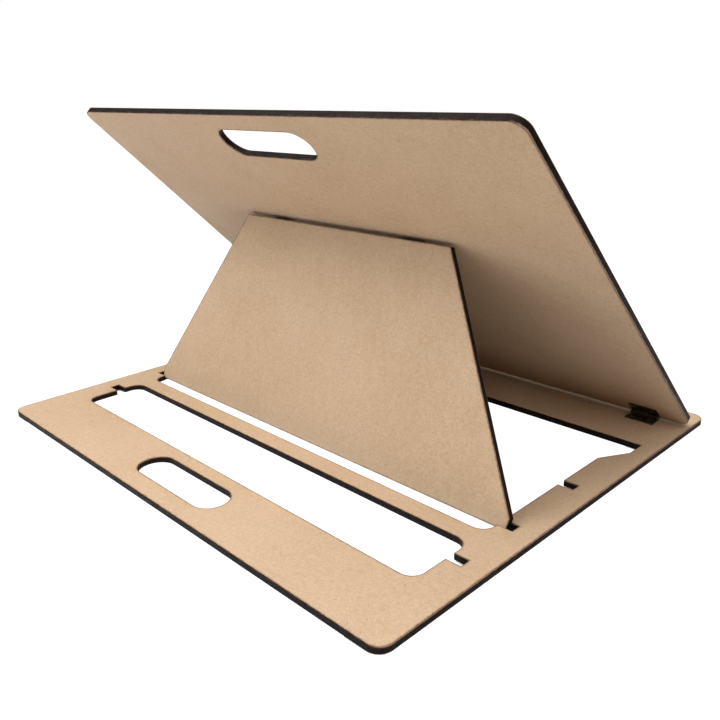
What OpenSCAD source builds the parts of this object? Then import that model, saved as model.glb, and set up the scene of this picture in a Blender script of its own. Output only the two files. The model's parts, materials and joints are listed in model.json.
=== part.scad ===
// Portable drawing board: a flat base frame, a hinged drawing board and a folding prop panel.
// Frame: origin under the middle of the base, +X to the user's right, +Y from the user to the
// carrying-slot edge, +Z up. The shape is drawn propped up, with the prop's foot in the middle notches.

/* [Sheet] */
// Thickness of the sheet that the three panels are cut from
sheet_t = 4.8; // [4.2:0.2:6]
// Radius of the rounded panel corners
corner_r = 10; // [4:1:12]

/* [Base] */
// Width of the base, side to side
base_w = 450; // [446:1:500]
// Depth of the base, front edge to slotted edge
base_d = 390; // [388:1:420]
// Strip of base in front of the front opening
front_strip = 86; // [85:1:86]
// Length of the front opening, where the folded prop lies
front_opening = 180; // [180:1:181]
// Bar between the two openings
middle_bar = 16; // [12:1:20]
// Length of the rear opening
rear_opening = 52; // [40:1:54]
// Width of both openings
opening_w = 395; // [394:1:397]
// Width of the front opening where the folded prop's foot lies
foot_zone_w = 422; // [418:1:424]
// Length of that wider stretch of the front opening
foot_zone_d = 17; // [14:1:20]
// Length of the slanted sides that follow it
foot_zone_slant = 24; // [18:1:30]

/* [Notches] */
// Distance from the front edge to the middle of the front notches, for the lowest prop angle
front_notch_y = 178; // [140:1:220]
// Distance from the front edge to the middle of the middle notches, where the foot stands
middle_notch_y = 249.5; // [249.3:0.1:249.7]
// Distance from the front edge to the middle of the rear notches
rear_notch_y = 301; // [296:1:320]
// Width of a notch, front to back
notch_w = 8; // [7.6:0.2:9]
// Distance between the outer ends of a pair of notches
notch_span = 418; // [414:1:422]

/* [Hand slots] */
// Overall length of a hand slot
slot_l = 98; // [80:1:120]
// Width of a hand slot
slot_w = 28; // [24:1:30]
// Sheet left between a hand slot and the edge it is near
slot_edge = 16; // [14:1:20]

/* [Drawing board] */
// Width of the drawing board
board_w = 450; // [440:1:450]
// Length of the drawing board, bottom edge to top edge
board_l = 357; // [330:1:357]
// Tilt of the drawing board with the foot in the middle notches
tilt = 43.6; // [43.4:0.1:43.8]

/* [Prop] */
// Length of the prop panel, top edge to foot
prop_l = 170.5; // [170.3:0.1:170.7]
// Width of the prop at its top edge
prop_top_w = 227; // [180:1:240]
// Width of the prop at its widest, just above the foot
prop_wide_w = 408; // [404:1:410]
// Width of the prop at its foot
prop_foot_w = 406; // [402:1:410]
// Height of the widest line above the foot
prop_lug_h = 8.5; // [6:0.5:10]
// Distance between the two hinge lines, measured along the board
hinge_line_gap = 223; // [222.8:0.1:223.2]

/* [Hinges] */
// Length of a hinge along its pin
hinge_l = 24; // [24:0.5:28]
// Width of a hinge leaf from the pin's centre
leaf_w = 12; // [12:0.5:15]
// Thickness of the leaf metal
leaf_t = 0.9; // [0.8:0.05:1]
// Outside radius of the hinge barrel
barrel_r = 1.8; // [1.7:0.05:1.85]
// Radius of the hinge pin
pin_r = 0.9; // [0.7:0.05:1]
// Distance of the base hinges' middles from the centre line
base_hinge_x = 188.5; // [150:0.5:190]
// Distance of the prop hinges' middles from the centre line
prop_hinge_x = 75; // [50:1:90]
// Distance from the base's front edge to its hinge line
hinge_line_y = 33.5; // [33:0.1:34]
// How far the drawing board's bottom edge passes its hinge line
board_lip = 3.3; // [1:0.1:3.4]
// How far the prop's top edge passes its hinge line
prop_lip = 1.5; // [1:0.1:1.6]

/* [Hidden] */
$fn = 48;

// Colours of the three materials
SHEET_COLOR = [0.78, 0.66, 0.53];
LEAF_COLOR = [0.22, 0.18, 0.13];
SCREW_COLOR = [0.30, 0.25, 0.18];

// Distance from a hinge's pin centre to the panel face that its leaf lies on
pin_offset = barrel_r + 0.3;
// Gap left between a leaf's plate and the other leaf's barrel
plate_start = barrel_r + 0.6;
// Number of barrel knuckles in a hinge, and the gap between two of them
knuckles = 5;
knuckle_gap = 0.3;
// Radial clearances of the pin, tight in the fixed leaf and running in the moving one
tight_clearance = 0.01;
running_clearance = 0.05;
// Height that the foot's lower arris stands clear of the table
foot_gap = 0.05;

// Screw sizes: shank, head, length under the leaf's face, tip, and recess
screw_shank_r = 0.9;
screw_head_r = 1.8;
screw_l = 4.9;
screw_tip = 0.9;
screw_point_r = 0.1;
recess_l = 2.2;
recess_w = 0.45;
recess_d = 0.35;
hole_clearance = 0.02;
// Screw places on a leaf: along the pin from the middle, and out from the pin
screw_pitch = 14;
screw_out = 7.4;
// Depth that a pilot hole runs past its screw's tip
pilot_past = 0.1;
// Pin sizes: side play of each head, and a head's overhang, height and flat top
pin_play = 0.1;
pin_head_over = 0.45;
pin_head_t = 0.6;
pin_flat_r = 0.8;

// Space cut past a face so that no cut ends on it
past = 1;

// Hinge lines as [y, z] in the frame
board_pin = [hinge_line_y - base_d / 2, sheet_t + pin_offset];
prop_pin = board_pin + hinge_line_gap * [cos(tilt), sin(tilt)];
// Direction of the prop from its pin to its foot, so that the foot's lower arris meets the table
foot_reach = prop_l - prop_lip;
foot_radius = norm([foot_reach, pin_offset]);
prop_dir = 360 - asin((prop_pin[1] - foot_gap) / foot_radius) - atan2(pin_offset, foot_reach);

// Frames. board_frame: X across, Y up the board from its hinge line, Z out of the drawing face,
// with the board's back on z = pin_offset. prop_frame is the same for the prop at its own pin:
// Y runs from the pin to the foot, and Z runs away from the drawing board's back when folded.
module board_frame() {
    translate([0, board_pin[0], board_pin[1]]) rotate([tilt, 0, 0]) children();
}
module board_at_prop() {
    translate([0, prop_pin[0], prop_pin[1]]) rotate([tilt, 0, 0]) children();
}
module prop_frame() {
    translate([0, prop_pin[0], prop_pin[1]]) rotate([prop_dir, 0, 0]) children();
}

// A rectangle with its lower left corner at [x, y] and rounded corners
module rounded_rect(x, y, w, h, r) {
    union() {
        translate([x + r, y]) square([w - 2 * r, h]);
        translate([x, y + r]) square([w, h - 2 * r]);
        for (cx = [x + r, x + w - r], cy = [y + r, y + h - r]) translate([cx, cy]) circle(r);
    }
}

// A hand slot centred on the origin, with half-round ends
module slot_outline() {
    straight = slot_l - slot_w;
    square([straight, slot_w], center = true);
    for (side = [-1, 1]) translate([side * straight / 2, 0]) circle(slot_w / 2);
}

// Pilot holes through a panel face for the two screws of one leaf, running to the +Z side
module pilot_holes(x, side) {
    for (k = [-1, 1])
        translate([x + k * screw_pitch / 2, side * screw_out, pin_offset - past])
            cylinder(r = screw_shank_r + hole_clearance, h = screw_l - leaf_t + past + pilot_past);
}

// ---- panels ----

// Front opening: straight sides, rounded rear corners, and a wider zone for the folded foot
module front_opening_outline() {
    y0 = front_strip;
    half = opening_w / 2;
    zone = foot_zone_w / 2;
    union() {
        rounded_rect(-half, y0 + foot_zone_d, opening_w, front_opening - foot_zone_d, corner_r);
        translate([-zone, y0]) square([foot_zone_w, foot_zone_d]);
        polygon([[-zone, y0 + foot_zone_d], [zone, y0 + foot_zone_d],
                 [half, y0 + foot_zone_d + foot_zone_slant],
                 [-half, y0 + foot_zone_d + foot_zone_slant]]);
    }
}

module base_outline() {
    rear_y = front_strip + front_opening + middle_bar;
    difference() {
        rounded_rect(-base_w / 2, 0, base_w, base_d, corner_r);
        front_opening_outline();
        rounded_rect(-opening_w / 2, rear_y, opening_w, rear_opening, corner_r);
        for (y = [front_notch_y, middle_notch_y, rear_notch_y])
            translate([-notch_span / 2, y - notch_w / 2]) notch_pair();
        translate([0, base_d - slot_edge - slot_w / 2]) slot_outline();
    }
}

// Both notches of a pair, each cut from its end to just inside the opening
module notch_pair() {
    depth = (notch_span - opening_w) / 2 + past;
    for (x = [0, notch_span - depth]) translate([x, 0]) square([depth, notch_w]);
}

module base_panel() {
    color(SHEET_COLOR) difference() {
        translate([0, -base_d / 2, 0]) linear_extrude(sheet_t) base_outline();
        translate([0, board_pin[0], board_pin[1]]) mirror([0, 0, 1])
            for (x = [-base_hinge_x, base_hinge_x]) pilot_holes(x, 1);
    }
}

module drawing_board() {
    color(SHEET_COLOR) board_frame() difference() {
        translate([0, -board_lip, pin_offset]) linear_extrude(sheet_t) difference() {
            rounded_rect(-board_w / 2, 0, board_w, board_l, corner_r);
            translate([0, board_l - slot_edge - slot_w / 2]) slot_outline();
        }
        for (x = [-base_hinge_x, base_hinge_x]) pilot_holes(x, 1);
        translate([0, hinge_line_gap, 0])
            for (x = [-prop_hinge_x, prop_hinge_x]) pilot_holes(x, -1);
    }
}

module prop_panel() {
    top = -prop_lip;
    foot = foot_reach;
    widest = foot_reach - prop_lug_h;
    color(SHEET_COLOR) prop_frame() difference() {
        translate([0, 0, pin_offset]) linear_extrude(sheet_t)
            polygon([[-prop_top_w / 2, top], [prop_top_w / 2, top], [prop_wide_w / 2, widest],
                     [prop_foot_w / 2, foot], [-prop_foot_w / 2, foot], [-prop_wide_w / 2, widest]]);
        for (x = [-prop_hinge_x, prop_hinge_x]) pilot_holes(x, 1);
    }
}

// ---- hinge pieces, in a frame whose X axis is the pin and whose panel face is z = pin_offset ----

// One leaf: a plate on the panel face, and the barrel knuckles of the given numbers
module leaf(numbers, bore_r) {
    pitch = hinge_l / knuckles;
    difference() {
        union() {
            translate([-hinge_l / 2, plate_start, pin_offset - leaf_t])
                cube([hinge_l, leaf_w - plate_start, leaf_t]);
            for (k = numbers) {
                x = -hinge_l / 2 + k * pitch + knuckle_gap / 2;
                translate([x, 0, pin_offset - leaf_t]) cube([pitch - knuckle_gap, plate_start, leaf_t]);
                translate([x, 0, 0]) rotate([0, 90, 0]) cylinder(r = barrel_r, h = pitch - knuckle_gap);
            }
        }
        translate([-hinge_l, 0, 0]) rotate([0, 90, 0]) cylinder(r = bore_r, h = 2 * hinge_l);
        for (k = [-1, 1]) translate([k * screw_pitch / 2, screw_out, pin_offset]) mirror([0, 0, 1])
            screw_hole();
    }
}
module fixed_leaf() { color(LEAF_COLOR) leaf([0, 2, 4], pin_r + tight_clearance); }
module moving_leaf() { color(LEAF_COLOR) leaf([1, 3], pin_r + running_clearance); }

// Countersunk hole through a leaf, with its wide end at z = leaf_t
module screw_hole() {
    translate([0, 0, -past]) cylinder(r = screw_shank_r + hole_clearance, h = leaf_t + past);
    cylinder(r1 = screw_shank_r + hole_clearance, r2 = screw_head_r + hole_clearance, h = leaf_t);
    translate([0, 0, leaf_t]) cylinder(r = screw_head_r + hole_clearance, h = past);
}

// Two countersunk screws, their heads flush with the leaf's face
module leaf_screws() {
    color(SCREW_COLOR) for (k = [-1, 1])
        translate([k * screw_pitch / 2, screw_out, pin_offset - leaf_t]) difference() {
            rotate_extrude() polygon([[0, 0], [screw_head_r, 0], [screw_shank_r, leaf_t],
                [screw_shank_r, screw_l - screw_tip], [screw_point_r, screw_l], [0, screw_l]]);
            for (turn = [20, 110]) rotate([0, 0, turn * k])
                translate([-recess_l / 2, -recess_w / 2, -past]) cube([recess_l, recess_w, recess_d + past]);
        }
}

// Hinge pin with a low domed head on each end
module hinge_pin() {
    head_r = pin_r + pin_head_over;
    color(SCREW_COLOR) rotate([0, 90, 0]) union() {
        cylinder(r = pin_r, h = hinge_l + 2 * pin_play, center = true);
        for (side = [0, 1]) mirror([0, 0, side]) translate([0, 0, hinge_l / 2]) rotate_extrude()
            polygon([[0, 0], [head_r, 0], [head_r, pin_head_t / 2], [pin_flat_r, pin_head_t], [0, pin_head_t]]);
    }
}

// ---- hinge places ----

module at_base(x) { translate([x, board_pin[0], board_pin[1]]) mirror([0, 0, 1]) children(); }
module at_board(x) { board_frame() translate([x, 0, 0]) children(); }
module at_board_back(x) { board_at_prop() translate([x, 0, 0]) mirror([0, 1, 0]) children(); }
module at_prop(x) { prop_frame() translate([x, 0, 0]) children(); }

base_panel();
drawing_board();
prop_panel();

at_base(-base_hinge_x) fixed_leaf();  // base_hinge_left_base_leaf
at_board(-base_hinge_x) moving_leaf();  // base_hinge_left_board_leaf
at_base(-base_hinge_x) hinge_pin();  // base_hinge_left_pin
at_base(-base_hinge_x) leaf_screws();  // base_hinge_left_base_screws
at_board(-base_hinge_x) leaf_screws();  // base_hinge_left_board_screws

at_base(base_hinge_x) fixed_leaf();  // base_hinge_right_base_leaf
at_board(base_hinge_x) moving_leaf();  // base_hinge_right_board_leaf
at_base(base_hinge_x) hinge_pin();  // base_hinge_right_pin
at_base(base_hinge_x) leaf_screws();  // base_hinge_right_base_screws
at_board(base_hinge_x) leaf_screws();  // base_hinge_right_board_screws

at_board_back(-prop_hinge_x) fixed_leaf();  // prop_hinge_left_board_leaf
at_prop(-prop_hinge_x) moving_leaf();  // prop_hinge_left_prop_leaf
at_board_back(-prop_hinge_x) hinge_pin();  // prop_hinge_left_pin
at_board_back(-prop_hinge_x) leaf_screws();  // prop_hinge_left_board_screws
at_prop(-prop_hinge_x) leaf_screws();  // prop_hinge_left_prop_screws

at_board_back(prop_hinge_x) fixed_leaf();  // prop_hinge_right_board_leaf
at_prop(prop_hinge_x) moving_leaf();  // prop_hinge_right_prop_leaf
at_board_back(prop_hinge_x) hinge_pin();  // prop_hinge_right_pin
at_board_back(prop_hinge_x) leaf_screws();  // prop_hinge_right_board_screws
at_prop(prop_hinge_x) leaf_screws();  // prop_hinge_right_prop_screws
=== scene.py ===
# Portable drawing board of laser-cut fibreboard: a flat base, a hinged drawing board and a folding prop.
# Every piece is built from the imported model's own outlines, in metres, in the model's frame.
import json
import math

import bmesh
import bpy
from mathutils import Matrix, Vector

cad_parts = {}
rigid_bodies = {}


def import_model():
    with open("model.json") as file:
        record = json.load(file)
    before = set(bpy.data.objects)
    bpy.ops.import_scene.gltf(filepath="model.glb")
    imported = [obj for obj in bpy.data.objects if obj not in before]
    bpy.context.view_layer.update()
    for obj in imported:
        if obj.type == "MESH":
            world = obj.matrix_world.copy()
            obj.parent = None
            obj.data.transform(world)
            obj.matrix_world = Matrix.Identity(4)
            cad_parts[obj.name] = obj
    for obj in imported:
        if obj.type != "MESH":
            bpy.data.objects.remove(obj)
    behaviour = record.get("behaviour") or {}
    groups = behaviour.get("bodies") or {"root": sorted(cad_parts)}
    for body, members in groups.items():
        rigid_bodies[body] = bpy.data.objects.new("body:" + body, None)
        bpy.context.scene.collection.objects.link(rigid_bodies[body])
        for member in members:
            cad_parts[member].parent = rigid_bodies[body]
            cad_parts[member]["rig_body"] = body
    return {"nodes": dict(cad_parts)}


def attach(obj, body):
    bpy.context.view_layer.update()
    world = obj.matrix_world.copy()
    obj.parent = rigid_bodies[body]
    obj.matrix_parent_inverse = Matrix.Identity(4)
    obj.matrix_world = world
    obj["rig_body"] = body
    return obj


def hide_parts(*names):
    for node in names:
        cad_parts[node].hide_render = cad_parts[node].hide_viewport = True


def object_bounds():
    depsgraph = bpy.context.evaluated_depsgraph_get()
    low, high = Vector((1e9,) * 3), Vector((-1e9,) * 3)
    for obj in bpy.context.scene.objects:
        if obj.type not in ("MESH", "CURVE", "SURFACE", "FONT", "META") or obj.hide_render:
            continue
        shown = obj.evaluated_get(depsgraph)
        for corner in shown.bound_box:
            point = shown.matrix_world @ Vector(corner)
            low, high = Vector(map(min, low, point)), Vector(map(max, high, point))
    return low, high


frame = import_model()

CAD_LOW, CAD_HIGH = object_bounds()
NODES = frame["nodes"]
MM = 0.001


def rgb(red, green, blue):
    return (red, green, blue, 1.0)


# ---- camera: the viewing angle is from behind and to one side, a little above the board ----
CAMERA_PLACE = Vector((-0.4428, 0.4175, 0.2711))
CAMERA_AIM = Vector((-0.0393, 0.0225, 0.0683))
CAMERA_ROLL = math.radians(-1.24)
CAMERA_NEAREST = 10 * MM
LENS_MM = 38.6

# ---- light: azimuth 0 is the user's side and 180 the side of the base's hand slot ----
SOFTBOXES = (            # name, azimuth, elevation, size in metres, power in watts
    ("softbox_left", 135, 50, 1.1, 24.0),
    ("softbox_right", 225, 50, 1.1, 18.0),
    ("softbox_top", 0, 90, 1.1, 15.0),
    ("softbox_front", 0, 40, 0.8, 4.5),
)
SOFTBOX_DISTANCE = 1.9
SOFTBOX_AIM = Vector((0, 0, 0.05))
HORIZON_LIGHT = 0.03     # light that the room gives from the horizon, and from overhead
ZENITH_LIGHT = 0.07
ROOM_BRIGHTNESS = 1.0    # the room as the camera sees it
WHITE = rgb(1.0, 1.0, 1.0)

# ---- floor ----
FLOOR_RADIUS = 6.0
FLOOR_CORNERS = 96
FLOOR_DROP = 0.05 * MM   # keeps the floor clear of the base's underside
FLOOR_GLOW = 1.25        # the floor's own brightness for the camera, and its share beside the matte white
FLOOR_GLOW_SHARE = 0.84
NOTCH_ASIDE = 0.2115     # middle of a side rail of the base, where shade is painted on the floor in the notches
NOTCH_REACH = 0.0125     # half the width of that strip of floor
NOTCH_GAP = 16 * MM      # how near the rail has to be for the painted shade on the floor
NOTCH_DARK = 0.35        # openness of the floor at which its painted shade is wholly dark, and wholly bright
NOTCH_BRIGHT = 0.65

# ---- sheet ----
ARRIS = 0.16 * MM        # rounding of a cut edge
HALO_INSETS = (0.45 * MM, 0.9 * MM, 1.6 * MM, 2.4 * MM)   # rings in a face that the scorch fades over
HALO_SCORCH = (0.55, 0.28, 0.10, 0.0)
BROWN_STEP = (0.45, 0.75)    # a ring part of the way down the brown of a cut, and how brown it still is
PLAIN_BROWN = 0.66       # brown of a cut along the front or rear, beside that of a side cut
SMALLEST_OUTLINE = 12 * MM   # shorter outlines are pilot holes, which their screws fill
SHEETS = (               # CAD node, piece, shift of the pattern, and depth of the brown below and above
    ("base_panel", "base_sheet", 0.0, (1.0 * MM, 1.7 * MM)),
    ("drawing_board", "board_sheet", 0.7, (2.1 * MM, 1.0 * MM)),
    ("prop_panel", "prop_sheet", 1.9, (1.2 * MM, 1.2 * MM)),
)

# ---- metal ----
LEAF_ARRIS = 0.12 * MM
SCREW_ARRIS = 0.04 * MM
PIN_ARRIS = 0.10 * MM
ARRIS_STEPS = 2
HINGES = (               # name, and the bodies of the fixed and the moving leaf
    ("base_hinge_left", "base", "board"),
    ("base_hinge_right", "base", "board"),
    ("prop_hinge_left", "board", "prop"),
    ("prop_hinge_right", "board", "prop"),
)

# ---- mesh ----
WELD = 0.001 * MM        # corners nearer than this are one corner
BEVEL_WELD = 0.003 * MM
SAME_LEVEL = 0.01 * MM
FLAT_ANGLE = math.radians(0.5)     # faces that meet at a smaller angle are one flat face
SHARP_ANGLE = math.radians(25)     # sharper edges of the metal get an arris
SMOOTH_ANGLE = math.radians(50)    # sharper edges are shaded as edges
LEANS_UP = 0.05          # least upward part of a normal on the side of a sheet that faces up
FACES_UP = 0.99          # and on its upper face, in the sheet's own frame
TURNS_AWAY = 0.5         # a neighbour with less than this is part of the cut

# ---- patterns: scale per metre, detail and roughness ----
CLOUDS = (16.0, 4.0, 0.6)
MOTTLE = (230.0, 3.0, 0.6)
GRAIN = (1500.0, 2.0, 0.6)
SPECKS = (620.0, 1.0, 0.4)
UNEVEN_SCORCH = (300.0, 3.0, 0.65)
PATINA = (420.0, 4.0, 0.62)
SPOTS = (1500.0, 2.0, 0.6)

# ---- stretched patterns: the stretch holds the scale per metre on each axis ----
FIBRE = (1.0, 1.0, 0.5)
FIBRE_STRETCH = (420, 2300, 900)
FIBRE_TURNS = (0.25, 1.2, 2.15, 2.8)
FIBRE_SHIFT = 0.13
FIBRE_BEND = 0.6
CUT_LINES = (1.0, 3.0, 0.6)
CUT_LINES_STRETCH = (3100, 170, 1)
CUT_LINES_BEND = 0.2
CUT_WAVES = (1.0, 3.0, 0.6)
CUT_WAVES_STRETCH = (260, 420, 1)
CUT_SOOT = (1.0, 2.0, 0.5)
CUT_SOOT_STRETCH = (60, 900, 1)
RUBS = (1.0, 2.0, 0.6)
RUBS_STRETCH = (260, 5200, 5200)
RUBS_TURN = 0.3

# ---- colours, linear ----
BOARD_TAN = rgb(0.535, 0.372, 0.232)
BOARD_CLOUD = rgb(0.600, 0.430, 0.285)
BOARD_MOTTLE = rgb(0.640, 0.470, 0.318)
BOARD_GRAIN = rgb(0.430, 0.288, 0.172)
FIBRE_LIGHT = rgb(0.760, 0.600, 0.430)
FIBRE_DARK = rgb(0.330, 0.205, 0.115)
SPECK_BROWN = rgb(0.165, 0.095, 0.055)
SCORCH_BROWN = rgb(0.150, 0.078, 0.045)
CHAR_BLACK = rgb(0.0035, 0.0025, 0.0022)
CHAR_SOOT = rgb(0.0125, 0.0085, 0.0074)
CHAR_LINE = rgb(0.0280, 0.0185, 0.0155)
CHAR_SHEEN = rgb(1.0, 0.80, 0.72)
RIM_BROWN = rgb(0.3800, 0.2300, 0.1650)
# dark, warm and bright tones; the bright one is real wear, and on the arrises also a painted glint
LEAF_TONES = (rgb(0.030, 0.022, 0.012), rgb(0.095, 0.060, 0.030), rgb(0.50, 0.42, 0.30))
SCREW_TONES = (rgb(0.080, 0.060, 0.038), rgb(0.20, 0.150, 0.09), rgb(0.60, 0.50, 0.36))
LEAF_ROUGHNESS = (0.28, 0.48)
SCREW_ROUGHNESS = (0.22, 0.40)


# ---------------------------------------------------------------- node trees

class Graph:
    """A node tree, with short calls for the nodes that the finishes and the stage use."""

    def __init__(self, tree):
        self.tree = tree

    def node(self, kind, **settings):
        made = self.tree.nodes.new(kind)
        for key, value in settings.items():
            setattr(made, key, value)
        return made

    def feed(self, socket, value):
        """Links a socket to another socket, or sets it to a number or colour."""
        if isinstance(value, bpy.types.NodeSocket):
            self.tree.links.new(value, socket)
        else:
            socket.default_value = value

    def attribute(self, name, output="Vector"):
        return self.node("ShaderNodeAttribute", attribute_name=name).outputs[output]

    def place(self, kind):
        return self.node("ShaderNodeTexCoord").outputs[kind]

    def axis(self, vector, name):
        split = self.node("ShaderNodeSeparateXYZ")
        self.feed(split.inputs[0], vector)
        return split.outputs[name]

    def camera_sees(self):
        return self.node("ShaderNodeLightPath").outputs["Is Camera Ray"]

    def stretched(self, coords, scale, turn=0.0, shift=0.0):
        """Coordinates turned about Z, then scaled by a different amount on each axis."""
        turned = self.node("ShaderNodeMapping", vector_type="POINT")
        self.feed(turned.inputs["Vector"], coords)
        turned.inputs["Rotation"].default_value = (0, 0, turn)
        turned.inputs["Location"].default_value = (shift, shift, shift)
        scaled = self.node("ShaderNodeMapping", vector_type="POINT")
        self.feed(scaled.inputs["Vector"], turned.outputs["Vector"])
        scaled.inputs["Scale"].default_value = scale
        return scaled.outputs["Vector"]

    def noise(self, coords, pattern, distortion=0.0):
        scale, detail, rough = pattern
        made = self.node("ShaderNodeTexNoise", noise_dimensions="3D")
        self.feed(made.inputs["Vector"], coords)
        made.inputs["Scale"].default_value = scale
        made.inputs["Detail"].default_value = detail
        made.inputs["Roughness"].default_value = rough
        made.inputs["Distortion"].default_value = distortion
        return made.outputs["Fac"]

    def band(self, value, low, high, out_low=0.0, out_high=1.0, shape="SMOOTHSTEP"):
        """value taken from low..high to out_low..out_high, and clamped."""
        made = self.node("ShaderNodeMapRange", interpolation_type=shape)
        self.feed(made.inputs["Value"], value)
        made.inputs["From Min"].default_value = low
        made.inputs["From Max"].default_value = high
        made.inputs["To Min"].default_value = out_low
        made.inputs["To Max"].default_value = out_high
        return made.outputs["Result"]

    def work_out(self, operation, *values):
        made = self.node("ShaderNodeMath", operation=operation)
        for socket, value in zip(made.inputs, values):
            self.feed(socket, value)
        return made.outputs["Value"]

    def plus(self, a, b):
        return self.work_out("ADD", a, b)

    def minus(self, a, b):
        return self.work_out("SUBTRACT", a, b)

    def times(self, a, b):
        return self.work_out("MULTIPLY", a, b)

    def blend(self, factor, a, b, kind="RGBA"):
        made = self.node("ShaderNodeMix", data_type=kind)
        self.feed(made.inputs["Factor"], factor)
        self.feed(made.inputs["A"], a)
        self.feed(made.inputs["B"], b)
        return made.outputs["Result"]

    def cover(self, color, over, pattern, start, full, amount=1.0):
        """color, with over laid on it by up to that amount as the pattern goes from start to full."""
        return self.blend(self.band(pattern, start, full, 0.0, amount), color, over)

    def bump(self, height, distance, strength, under=None):
        made = self.node("ShaderNodeBump")
        made.inputs["Strength"].default_value = strength
        made.inputs["Distance"].default_value = distance
        self.feed(made.inputs["Height"], height)
        if under is not None:
            self.feed(made.inputs["Normal"], under)
        return made.outputs["Normal"]

    def surface(self, color, roughness, normal, **constants):
        """Sets the material's one shader."""
        shader = self.tree.nodes["Principled BSDF"]
        self.feed(shader.inputs["Base Color"], color)
        self.feed(shader.inputs["Roughness"], roughness)
        self.feed(shader.inputs["Normal"], normal)
        for name, value in constants.items():
            shader.inputs[name.replace("_", " ")].default_value = value


def new_material(name):
    material = bpy.data.materials.new(name)
    material.use_nodes = True
    return material, Graph(material.node_tree)


# ---------------------------------------------------------------- finishes

def fibre_layers(g, sheet):
    """Short crossing fibres pressed into the sheet: the mask of the light ones and of the dark ones."""
    light, dark = None, None
    for number, turn in enumerate(FIBRE_TURNS):
        fine = g.stretched(sheet, FIBRE_STRETCH, turn, FIBRE_SHIFT * number)
        fibre = g.noise(fine, FIBRE, FIBRE_BEND)
        bright = g.band(fibre, 0.58, 0.74)
        shade = g.band(fibre, 0.42, 0.27)
        light = bright if light is None else g.work_out("MAXIMUM", light, bright)
        dark = shade if dark is None else g.work_out("MAXIMUM", dark, shade)
    return light, dark


def fibreboard():
    """The pressed face: soft clouds, crossing fibres, a few dark specks, and scorch at the cuts."""
    material, g = new_material("fibreboard_face")
    sheet = g.attribute("sheet")
    light, dark = fibre_layers(g, sheet)
    mottle = g.noise(sheet, MOTTLE)
    grain = g.noise(sheet, GRAIN)
    specks = g.band(g.noise(sheet, SPECKS), 0.735, 0.79)
    uneven = g.band(g.noise(sheet, UNEVEN_SCORCH), 0.25, 0.75, 0.55, 1.35)
    scorch = g.times(g.attribute("scorch", "Fac"), uneven)

    color = g.cover(BOARD_TAN, BOARD_CLOUD, g.noise(sheet, CLOUDS), start=0.32, full=0.70)
    color = g.cover(color, BOARD_MOTTLE, mottle, start=0.30, full=0.72, amount=0.55)
    color = g.cover(color, BOARD_GRAIN, grain, start=0.62, full=0.36, amount=0.30)
    color = g.blend(g.times(light, 0.28), color, FIBRE_LIGHT)
    color = g.blend(g.times(dark, 0.34), color, FIBRE_DARK)
    color = g.blend(g.times(specks, 0.65), color, SPECK_BROWN)
    color = g.cover(color, SCORCH_BROWN, scorch, start=0.04, full=0.80)

    rough = g.band(g.minus(mottle, g.times(light, 0.4)), 0.1, 0.7, 0.60, 0.74)
    height = g.plus(g.minus(light, dark), g.times(grain, 0.7))
    normal = g.bump(height, 0.035 * MM, 0.55, under=g.bump(mottle, 0.10 * MM, 0.35))
    g.surface(color, rough, normal, Specular_IOR_Level=0.32)
    return material


def charred_edge():
    """The laser-cut edge: charred nearly black, browner at both arrises, with fine lines across the cut."""
    material, g = new_material("fibreboard_cut_edge")
    cut = g.attribute("cut")
    lines = g.noise(g.stretched(cut, CUT_LINES_STRETCH), CUT_LINES, CUT_LINES_BEND)
    waves = g.noise(g.stretched(cut, CUT_WAVES_STRETCH), CUT_WAVES)
    soot = g.noise(g.stretched(cut, CUT_SOOT_STRETCH), CUT_SOOT)
    rim = g.plus(g.attribute("rim", "Fac"), g.band(waves, 0.25, 0.75, -0.09, 0.09))

    color = g.cover(CHAR_BLACK, CHAR_SOOT, waves, start=0.35, full=0.70)
    color = g.cover(color, CHAR_LINE, lines, start=0.48, full=0.72, amount=0.8)
    color = g.cover(color, RIM_BROWN, rim, start=0.55, full=1.10)

    rough = g.band(g.plus(soot, g.times(lines, 0.5)), 0.45, 1.05, 0.42, 0.66)
    normal = g.bump(lines, 0.05 * MM, 0.6, under=g.bump(waves, 0.08 * MM, 0.5))
    g.surface(color, rough, normal, Specular_IOR_Level=0.10, Specular_Tint=CHAR_SHEEN)
    return material


def aged_bronze(name, tones, roughness):
    """Darkened metal with mottled tone, worn brighter along its arrises, where that bright tone is also a
    painted glint, and fine rub marks.
    """
    material, g = new_material(name)
    dark, warm, worn_and_glint = tones
    place = g.place("Object")
    patina = g.noise(place, PATINA)
    spots = g.noise(place, SPOTS)
    rubs = g.noise(g.stretched(place, RUBS_STRETCH, RUBS_TURN), RUBS)
    wear_and_glint = g.times(g.attribute("wear_and_glint", "Fac"), g.band(patina, 0.25, 0.65, 0.25, 1.0))

    color = g.cover(dark, warm, patina, start=0.32, full=0.68)
    color = g.cover(color, worn_and_glint, spots, start=0.60, full=0.80, amount=0.55)
    # the arrises take the bright tone: partly real wear, partly a painted glint on knuckles and rims
    color = g.blend(wear_and_glint, color, worn_and_glint)
    color = g.cover(color, worn_and_glint, rubs, start=0.60, full=0.80, amount=0.30)

    rough = g.band(g.minus(patina, g.times(rubs, 0.4)), 0.0, 0.6, *roughness)
    normal = g.bump(rubs, 0.012 * MM, 0.6, under=g.bump(spots, 0.02 * MM, 0.5))
    g.surface(color, rough, normal, Metallic=0.6, Specular_IOR_Level=0.4)
    return material


# ---------------------------------------------------------------- pieces

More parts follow.
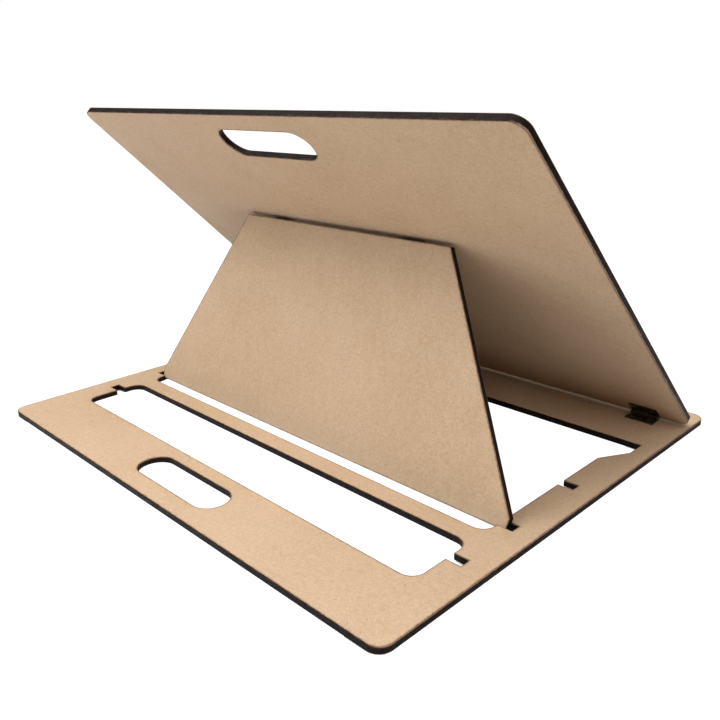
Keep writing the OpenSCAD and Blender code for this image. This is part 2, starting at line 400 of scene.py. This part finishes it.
def add_piece(bm, name, node, materials):
    """Turns the mesh into a piece that stands for the CAD node and rides on the node's body."""
    mesh = bpy.data.meshes.new(name)
    bm.to_mesh(mesh)
    bm.free()
    for material in materials:
        mesh.materials.append(material)
    mesh.shade_smooth()
    mesh.set_sharp_from_angle(angle=SMOOTH_ANGLE)
    piece = bpy.data.objects.new(name, mesh)
    bpy.context.scene.collection.objects.link(piece)
    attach(piece, NODES[node]["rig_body"])
    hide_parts(node)


# ---------------------------------------------------------------- cut sheets

def sheet_frame(obj):
    """Rotation from the sheet's own frame (X across, Z out of its upper face) to the model's frame."""
    upward = {}
    for face in obj.data.polygons:
        if face.normal.z > LEANS_UP:
            key = tuple(round(c, 2) for c in face.normal)
            upward[key] = upward.get(key, Vector()) + face.normal * face.area
    up = max(upward.values(), key=lambda total: total.length).normalized()
    across = Vector((1, 0, 0))
    along = up.cross(across).normalized()
    return Matrix((across, along, up)).transposed()


def outlines(obj, turn):
    """Closed outlines of the sheet's upper face in its own frame, with the material on their left."""
    bm = bmesh.new()
    bm.from_mesh(obj.data)
    bmesh.ops.remove_doubles(bm, verts=bm.verts, dist=WELD)
    bmesh.ops.transform(bm, matrix=turn.transposed().to_4x4(), verts=bm.verts)
    bm.normal_update()
    heights = [v.co.z for v in bm.verts]
    low, high = min(heights), max(heights)
    following = {}
    for face in bm.faces:
        if face.normal.z < FACES_UP or face.calc_center_median().z < high - SAME_LEVEL:
            continue
        for loop in face.loops:
            others = [other for other in loop.edge.link_faces if other is not face]
            if any(other.normal.z < TURNS_AWAY for other in others):
                following[loop.vert.index] = loop.link_loop_next.vert.index
    bm.verts.ensure_lookup_table()
    found = []
    while following:
        start = min(following)
        chain = [start]
        step = following.pop(start)
        while step != start:
            chain.append(step)
            step = following.pop(step)
        found.append([bm.verts[i].co.xy.copy() for i in chain])
    bm.free()
    return found, low, high


def perimeter(outline):
    return sum((outline[i] - outline[i - 1]).length for i in range(len(outline)))


def inset(outline, distance):
    """The outline moved into the material by that distance, with its corners kept."""
    moved = []
    count = len(outline)
    for i, point in enumerate(outline):
        before = (point - outline[i - 1]).normalized()
        after = (outline[(i + 1) % count] - point).normalized()
        left_before = Vector((-before.y, before.x))
        left_after = Vector((-after.y, after.x))
        shared = left_before + left_after
        moved.append(point + shared * (distance / (1.0 + left_before.dot(left_after))))
    return moved


def sideways(outline):
    """How far the edge at each point of the outline faces the sheet's left or right, 0 to 1."""
    count = len(outline)
    runs = [outline[(i + 1) % count] - outline[i - 1] for i in range(count)]
    return [abs(run.normalized().y) for run in runs]


def half_profile(brown_depth):
    """Rings from a face round its arris, to the depth where the brown of the cut has turned to char."""
    soft = ARRIS * (1 - math.sqrt(0.5))
    part, brown = BROWN_STEP
    rings = [(d, 0.0, s, 1.0) for d, s in zip(HALO_INSETS, HALO_SCORCH)][::-1]
    rings += [(ARRIS, 0.0, 1.0, 1.0), (soft, soft, 1.0, 1.0), (0.0, ARRIS, 1.0, 1.0)]
    return rings + [(0.0, part * brown_depth, 1.0, brown), (0.0, brown_depth, 1.0, 0.0)]


def edge_profile(thickness, brown_below, brown_above):
    """Rings from the lower face round the edge to the upper face: (inset, height, scorch, brown)."""
    upper = [(d, thickness - h, s, b) for d, h, s, b in half_profile(brown_above)]
    return half_profile(brown_below) + upper[::-1]


def add_rings(bm, line, low, profile, scorch_layer, rim_layer):
    """The corners of every ring of the profile round one outline, with their scorch and brown."""
    rings = []
    sides = sideways(line)
    for distance, height, scorch, brown in profile:
        ring = []
        for point, side in zip(inset(line, distance), sides):
            vert = bm.verts.new((point.x, point.y, low + height))
            vert[scorch_layer] = scorch
            vert[rim_layer] = brown * (PLAIN_BROWN + (1 - PLAIN_BROWN) * side)
            ring.append(vert)
        rings.append(ring)
    return rings


def stitch(bm, line, rings, profile, cut_layer):
    """Joins the rings of one outline with quads, and notes how far round the outline each corner is."""
    count = len(line)
    around = perimeter(line)
    first_edge = len(HALO_INSETS)
    last_edge = len(profile) - len(HALO_INSETS) - 1
    run = 0.0
    for i in range(count):
        j = (i + 1) % count
        further = run + (line[j] - line[i]).length
        for k in range(len(rings) - 1):
            face = bm.faces.new((rings[k][i], rings[k][j], rings[k + 1][j], rings[k + 1][i]))
            face.material_index = 1 if first_edge <= k < last_edge else 0
            runs = (run, further, further, run)
            steps = (k, k, k + 1, k + 1)
            for loop, along, step in zip(face.loops, runs, steps):
                height = profile[step][1]
                loop[cut_layer] = (along, height, around)
        run = further


def fill_face(bm, rings):
    """Fills the flat part of a face between the innermost rings."""
    edges = []
    for ring in rings:
        for i, vert in enumerate(ring):
            edges.append(bm.edges.get((ring[i - 1], vert)))
    bmesh.ops.triangle_fill(bm, edges=edges, use_beauty=True, use_dissolve=False)


def cut_sheet(node, name, pattern_shift, browns, materials):
    """A panel as it comes off the laser: the CAD outline with softened, charred edges."""
    turn = sheet_frame(NODES[node])
    found, low, high = outlines(NODES[node], turn)
    profile = edge_profile(high - low, *browns)

    bm = bmesh.new()
    scorch_layer = bm.verts.layers.float.new("scorch")
    rim_layer = bm.verts.layers.float.new("rim")
    sheet_layer = bm.verts.layers.float_vector.new("sheet")
    cut_layer = bm.loops.layers.float_vector.new("cut")
    lowest_rings, highest_rings = [], []
    for line in found:
        if perimeter(line) <= SMALLEST_OUTLINE:
            continue
        rings = add_rings(bm, line, low, profile, scorch_layer, rim_layer)
        lowest_rings.append(rings[0])
        highest_rings.append(rings[-1])
        stitch(bm, line, rings, profile, cut_layer)
    fill_face(bm, lowest_rings)
    fill_face(bm, highest_rings)
    for vert in bm.verts:
        vert[sheet_layer] = vert.co + Vector((0, 0, pattern_shift))
    bmesh.ops.recalc_face_normals(bm, faces=bm.faces)
    bmesh.ops.transform(bm, matrix=turn.to_4x4(), verts=bm.verts)
    add_piece(bm, name, node, materials)


# ---------------------------------------------------------------- metal pieces

def metal_piece(node, arris, material):
    """A leaf, pin or pair of screws: the CAD shape with every sharp arris softened and marked for wear and a
    painted glint.
    """
    bm = bmesh.new()
    bm.from_mesh(NODES[node].data)
    bmesh.ops.remove_doubles(bm, verts=bm.verts, dist=WELD)
    bmesh.ops.dissolve_limit(bm, angle_limit=FLAT_ANGLE, verts=bm.verts, edges=bm.edges)
    bm.faces.layers.float.new("wear_and_glint")
    sharp = [e for e in bm.edges if len(e.link_faces) == 2 and e.calc_face_angle() > SHARP_ANGLE]
    made = bmesh.ops.bevel(
        bm,
        geom=sharp,
        offset=arris,
        offset_type="OFFSET",
        segments=ARRIS_STEPS,
        profile=0.5,
        affect="EDGES",
        clamp_overlap=True,
        material=-1,
    )
    # the new arris faces take the bright tone: real wear, and a painted glint
    wear_and_glint = bm.faces.layers.float["wear_and_glint"]
    for face in made["faces"]:
        face[wear_and_glint] = 1.0
    bmesh.ops.remove_doubles(bm, verts=bm.verts, dist=BEVEL_WELD)
    bmesh.ops.dissolve_degenerate(bm, dist=WELD, edges=bm.edges)
    add_piece(bm, node + "_worn_and_glint", node, (material,))


def hinge(name, fixed, moving, leaf_finish, screw_finish):
    """One butt hinge: two leaves, the pin, and the screws of each leaf."""
    for side in (fixed, moving):
        metal_piece(f"{name}_{side}_leaf", LEAF_ARRIS, leaf_finish)
        metal_piece(f"{name}_{side}_screws", SCREW_ARRIS, screw_finish)
    metal_piece(f"{name}_pin", PIN_ARRIS, screw_finish)


# ---------------------------------------------------------------- stage

def turn_towards(place, aim):
    """Rotation of a camera or a light at place that looks at aim."""
    return (aim - place).to_track_quat("-Z", "Y").to_matrix()


def add_camera():
    camera = bpy.data.objects.new("camera", bpy.data.cameras.new("camera"))
    camera.data.lens = LENS_MM
    camera.data.clip_start = CAMERA_NEAREST
    turn = turn_towards(CAMERA_PLACE, CAMERA_AIM) @ Matrix.Rotation(CAMERA_ROLL, 3, "Z")
    camera.matrix_world = Matrix.Translation(CAMERA_PLACE) @ turn.to_4x4()
    bpy.context.scene.collection.objects.link(camera)
    bpy.context.scene.camera = camera


def add_softbox(name, around, above, size, power):
    """A square soft light at an azimuth and elevation round the object, aimed at its middle."""
    light = bpy.data.objects.new(name, bpy.data.lights.new(name, "AREA"))
    light.data.shape = "SQUARE"
    light.data.size = size
    light.data.energy = power
    turn, lift = math.radians(around), math.radians(above)
    way = Vector((math.sin(turn) * math.cos(lift), -math.cos(turn) * math.cos(lift), math.sin(lift)))
    place = way * SOFTBOX_DISTANCE
    light.matrix_world = Matrix.Translation(place) @ turn_towards(place, SOFTBOX_AIM).to_4x4()
    bpy.context.scene.collection.objects.link(light)


def add_world():
    """A pale room: white to the eye, and as light a little brighter overhead than at the horizon."""
    world = bpy.data.worlds.new("room")
    bpy.context.scene.world = world
    world.use_nodes = True
    g = Graph(world.node_tree)
    height = g.axis(g.place("Generated"), "Z")
    light = g.band(height, 0.0, 1.0, HORIZON_LIGHT, ZENITH_LIGHT, shape="LINEAR")
    strength = g.blend(g.camera_sees(), light, ROOM_BRIGHTNESS, kind="FLOAT")
    background = g.tree.nodes["Background"]
    g.feed(background.inputs["Color"], WHITE)
    g.feed(background.inputs["Strength"], strength)


def white_floor():
    """White, kept bright so that it takes only a faint shadow, but with shade painted in the notches of the
    side rails, where ambient occlusion darkens its white and its glow.
    """
    material, g = new_material("floor")
    g.tree.nodes.remove(g.tree.nodes["Principled BSDF"])
    gaps = g.node("ShaderNodeAmbientOcclusion")
    gaps.inputs["Distance"].default_value = NOTCH_GAP
    openness = gaps.outputs["AO"]
    # painted shade: in the notches the floor's white and glow fall with ambient occlusion
    notch_painted_shade = g.band(openness, NOTCH_DARK, NOTCH_BRIGHT, 0.0, FLOOR_GLOW_SHARE, shape="LINEAR")
    aside = g.work_out("ABSOLUTE", g.axis(g.place("Object"), "X"))
    by_rail = g.work_out("COMPARE", aside, NOTCH_ASIDE, NOTCH_REACH)
    brightness = g.blend(by_rail, FLOOR_GLOW_SHARE, notch_painted_shade, kind="FLOAT")

    matte = g.node("ShaderNodeBsdfDiffuse")
    g.feed(matte.inputs["Color"], brightness)
    glow = g.node("ShaderNodeEmission")
    g.feed(glow.inputs["Color"], WHITE)
    g.feed(glow.inputs["Strength"], FLOOR_GLOW)
    mix = g.node("ShaderNodeMixShader")
    g.feed(mix.inputs["Fac"], g.times(g.camera_sees(), brightness))
    g.feed(mix.inputs[1], matte.outputs["BSDF"])
    g.feed(mix.inputs[2], glow.outputs["Emission"])
    g.feed(g.tree.nodes["Material Output"].inputs["Surface"], mix.outputs["Shader"])
    return material


def add_floor():
    bm = bmesh.new()
    bmesh.ops.create_circle(bm, cap_ends=True, segments=FLOOR_CORNERS, radius=FLOOR_RADIUS)
    mesh = bpy.data.meshes.new("floor")
    bm.to_mesh(mesh)
    bm.free()
    mesh.materials.append(white_floor())
    floor = bpy.data.objects.new("floor", mesh)
    floor.location.z = CAD_LOW.z - FLOOR_DROP
    bpy.context.scene.collection.objects.link(floor)


# ---------------------------------------------------------------- build

add_camera()
add_world()
add_floor()
for softbox in SOFTBOXES:
    add_softbox(*softbox)
bpy.context.scene.view_settings.view_transform = "Standard"

sheet_finishes = (fibreboard(), charred_edge())
for sheet in SHEETS:
    cut_sheet(*sheet, sheet_finishes)

leaf_bronze = aged_bronze("leaf_bronze", LEAF_TONES, LEAF_ROUGHNESS)
fastener_bronze = aged_bronze("fastener_bronze", SCREW_TONES, SCREW_ROUGHNESS)
for hinge_bodies in HINGES:
    hinge(*hinge_bodies, leaf_bronze, fastener_bronze)

bpy.context.view_layer.update()
